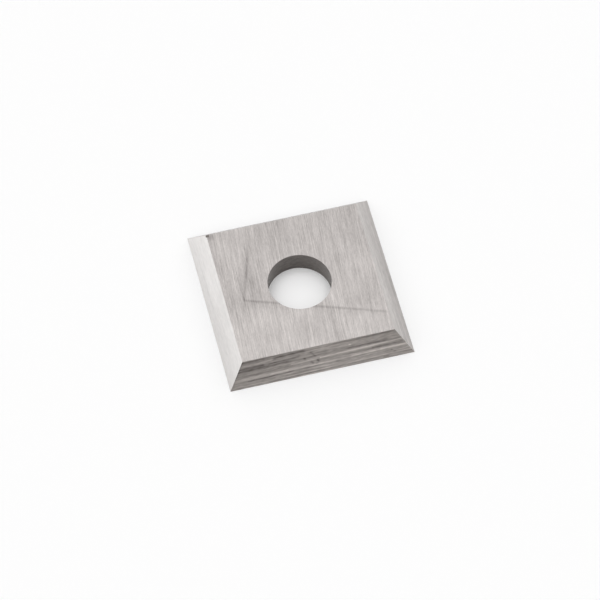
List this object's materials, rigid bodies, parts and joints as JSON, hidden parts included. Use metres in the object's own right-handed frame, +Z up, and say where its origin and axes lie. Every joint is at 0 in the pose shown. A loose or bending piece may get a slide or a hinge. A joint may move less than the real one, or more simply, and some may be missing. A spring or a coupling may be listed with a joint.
{
  "type": "carbide insert",
  "caption": "Square indexable carbide knife insert: flat plate with bevelled flanks meeting in mitred corners, sharp cutting edges and a plain round hole for its clamping screw.",
  "frame": {"origin": "where the axis of the bore meets the large face, which is the face it rests on", "axes": "+Z up along the bore, from the large face to the small one; X and Y along the cutting edges"},
  "size_m": [0.012, 0.012, 0.0015],
  "materials": {
    "carbide": "surface-ground cemented tungsten carbide, fine straight grinding lines, satin"
  },
  "bodies": {
    "root": {"insert": "carbide"}
  },
  "joints": []
}
